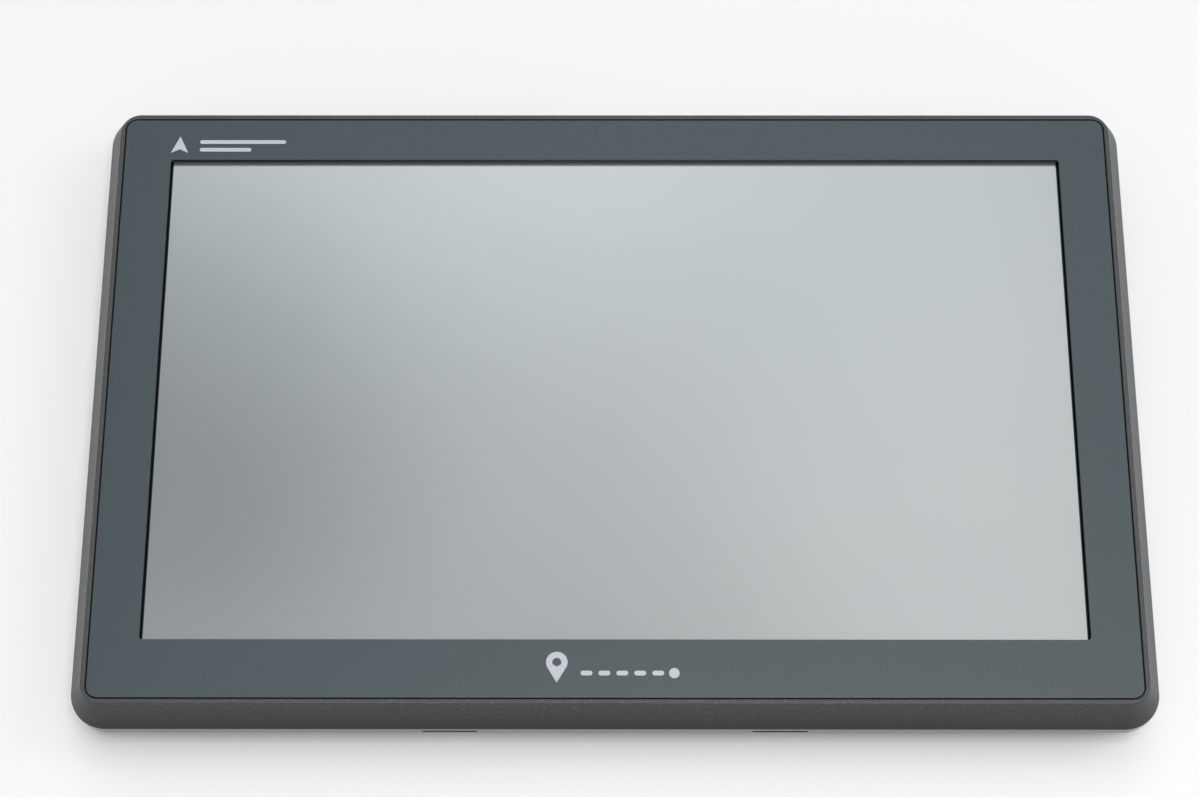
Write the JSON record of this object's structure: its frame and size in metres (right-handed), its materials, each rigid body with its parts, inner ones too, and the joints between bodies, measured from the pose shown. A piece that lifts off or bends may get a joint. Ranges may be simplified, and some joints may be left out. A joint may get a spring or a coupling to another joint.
{
  "type": "portable gps navigator",
  "caption": "Flat rectangular car navigator with a 7 inch touch screen, chamfered frame, drafted rear cover, hinged rod antenna, power key, card slot and side sockets.",
  "frame": {"origin": "middle of the outline at the level of the rear face, on which the navigator lies", "axes": "+Z out of the screen, +Y to the top edge of the navigator, +X to the right of a person looking at the screen"},
  "size_m": [0.178, 0.1118, 0.0175],
  "materials": {
    "frame_plastic": "satin moulded charcoal",
    "face_plastic": "fine grained dark grey",
    "cover_plastic": "textured black",
    "label_film": "blank satin film",
    "black_foam": "closed cell foam",
    "touch_screen": "anti-glare touch film over an unlit screen",
    "lcd_glass": "unlit liquid crystal panel",
    "white_plastic": "moulded white",
    "clear_plastic": "frosted light guide",
    "sheet_steel": "tinned sheet",
    "flex_film": "amber film",
    "circuit_board": "solder mask",
    "ceramic_block": "fired ceramic",
    "battery_wrap": "laminated pouch",
    "black_plastic": "satin black",
    "mesh_cloth": "fine woven mesh",
    "speaker_paper": "pressed paper cone",
    "card_plastic": "smooth black",
    "chrome_tube": "polished plate",
    "black_screw": "black zinc"
  },
  "bodies": {
    "housing": {"front_frame": "frame_plastic", "face_plate": "face_plastic", "rear_cover": "cover_plastic", "rating_label": "label_film", "bezel_gasket": "black_foam", "touch_panel": "touch_screen", "lcd_panel": "lcd_glass", "backlight_frame": "white_plastic", "light_guide": "clear_plastic", "led_strip": "white_plastic", "lcd_tray": "sheet_steel", "mid_chassis": "sheet_steel", "lcd_flex": "flex_film", "touch_flex": "flex_film", "main_board": "circuit_board", "lcd_connector": "black_plastic", "processor_shield": "sheet_steel", "radio_shield": "sheet_steel", "gps_patch_antenna": "ceramic_block", "tv_tuner_module": "sheet_steel", "clock_cell": "sheet_steel", "battery_connector": "white_plastic", "battery_tape": "black_foam", "battery_pack": "battery_wrap", "battery_lead": "black_plastic", "grille_mesh": "mesh_cloth", "speaker_gasket": "black_foam", "speaker_frame": "black_plastic", "speaker_cone": "speaker_paper", "speaker_magnet": "sheet_steel", "power_switch": "sheet_steel", "reset_switch": "sheet_steel", "card_socket": "sheet_steel", "power_socket": "sheet_steel", "av_jack": "black_plastic", "antenna_bracket": "sheet_steel", "antenna_pin": "sheet_steel", "antenna_lead": "black_plastic", "rear_screw_1": "black_screw", "rear_screw_2": "black_screw", "rear_screw_3": "black_screw", "rear_screw_4": "black_screw", "rear_screw_5": "black_screw", "rear_screw_6": "black_screw", "chassis_screw_1": "black_screw", "chassis_screw_2": "black_screw", "chassis_screw_3": "black_screw", "chassis_screw_4": "black_screw", "board_screw_1": "black_screw", "board_screw_2": "black_screw", "board_screw_3": "black_screw"},
    "power_key": {"power_key": "cover_plastic"},
    "reset_button": {"reset_button": "black_plastic"},
    "memory_card": {"memory_card": "card_plastic"},
    "antenna_arm": {"antenna_knuckle": "black_plastic", "antenna_outer_tube": "chrome_tube"},
    "antenna_second": {"antenna_second_tube": "chrome_tube"},
    "antenna_third": {"antenna_third_tube": "chrome_tube"},
    "antenna_end": {"antenna_inner_rod": "chrome_tube", "antenna_tip": "black_plastic"}
  },
  "joints": [
    {"name": "power_key_press", "type": "slide", "parent": "housing", "child": "power_key", "axis": [0, -1, 0], "range_m": [0, 0.0005], "stiffness_N_per_m": 2000, "springref_m": -0.0002},
    {"name": "reset_press", "type": "slide", "parent": "housing", "child": "reset_button", "axis": [0, 0, 1], "range_m": [0, 0.0004], "stiffness_N_per_m": 1500, "springref_m": -0.0002},
    {"name": "memory_card_slide", "type": "slide", "parent": "housing", "child": "memory_card", "axis": [-1, 0, 0], "range_m": [-0.0008, 0.0045]},
    {"name": "antenna_swing", "type": "hinge", "parent": "housing", "child": "antenna_arm", "pos_m": [0.078, 0.05, 0.0048], "axis": [0, 0, -1], "range_deg": [0, 180]},
    {"name": "second_tube_slide", "type": "slide", "parent": "antenna_arm", "child": "antenna_second", "axis": [-1, 0, 0], "range_m": [0, 0.06]},
    {"name": "third_tube_slide", "type": "slide", "parent": "antenna_second", "child": "antenna_third", "axis": [-1, 0, 0], "range_m": [0, 0.06]},
    {"name": "inner_rod_slide", "type": "slide", "parent": "antenna_third", "child": "antenna_end", "axis": [-1, 0, 0], "range_m": [0, 0.06]}
  ]
}
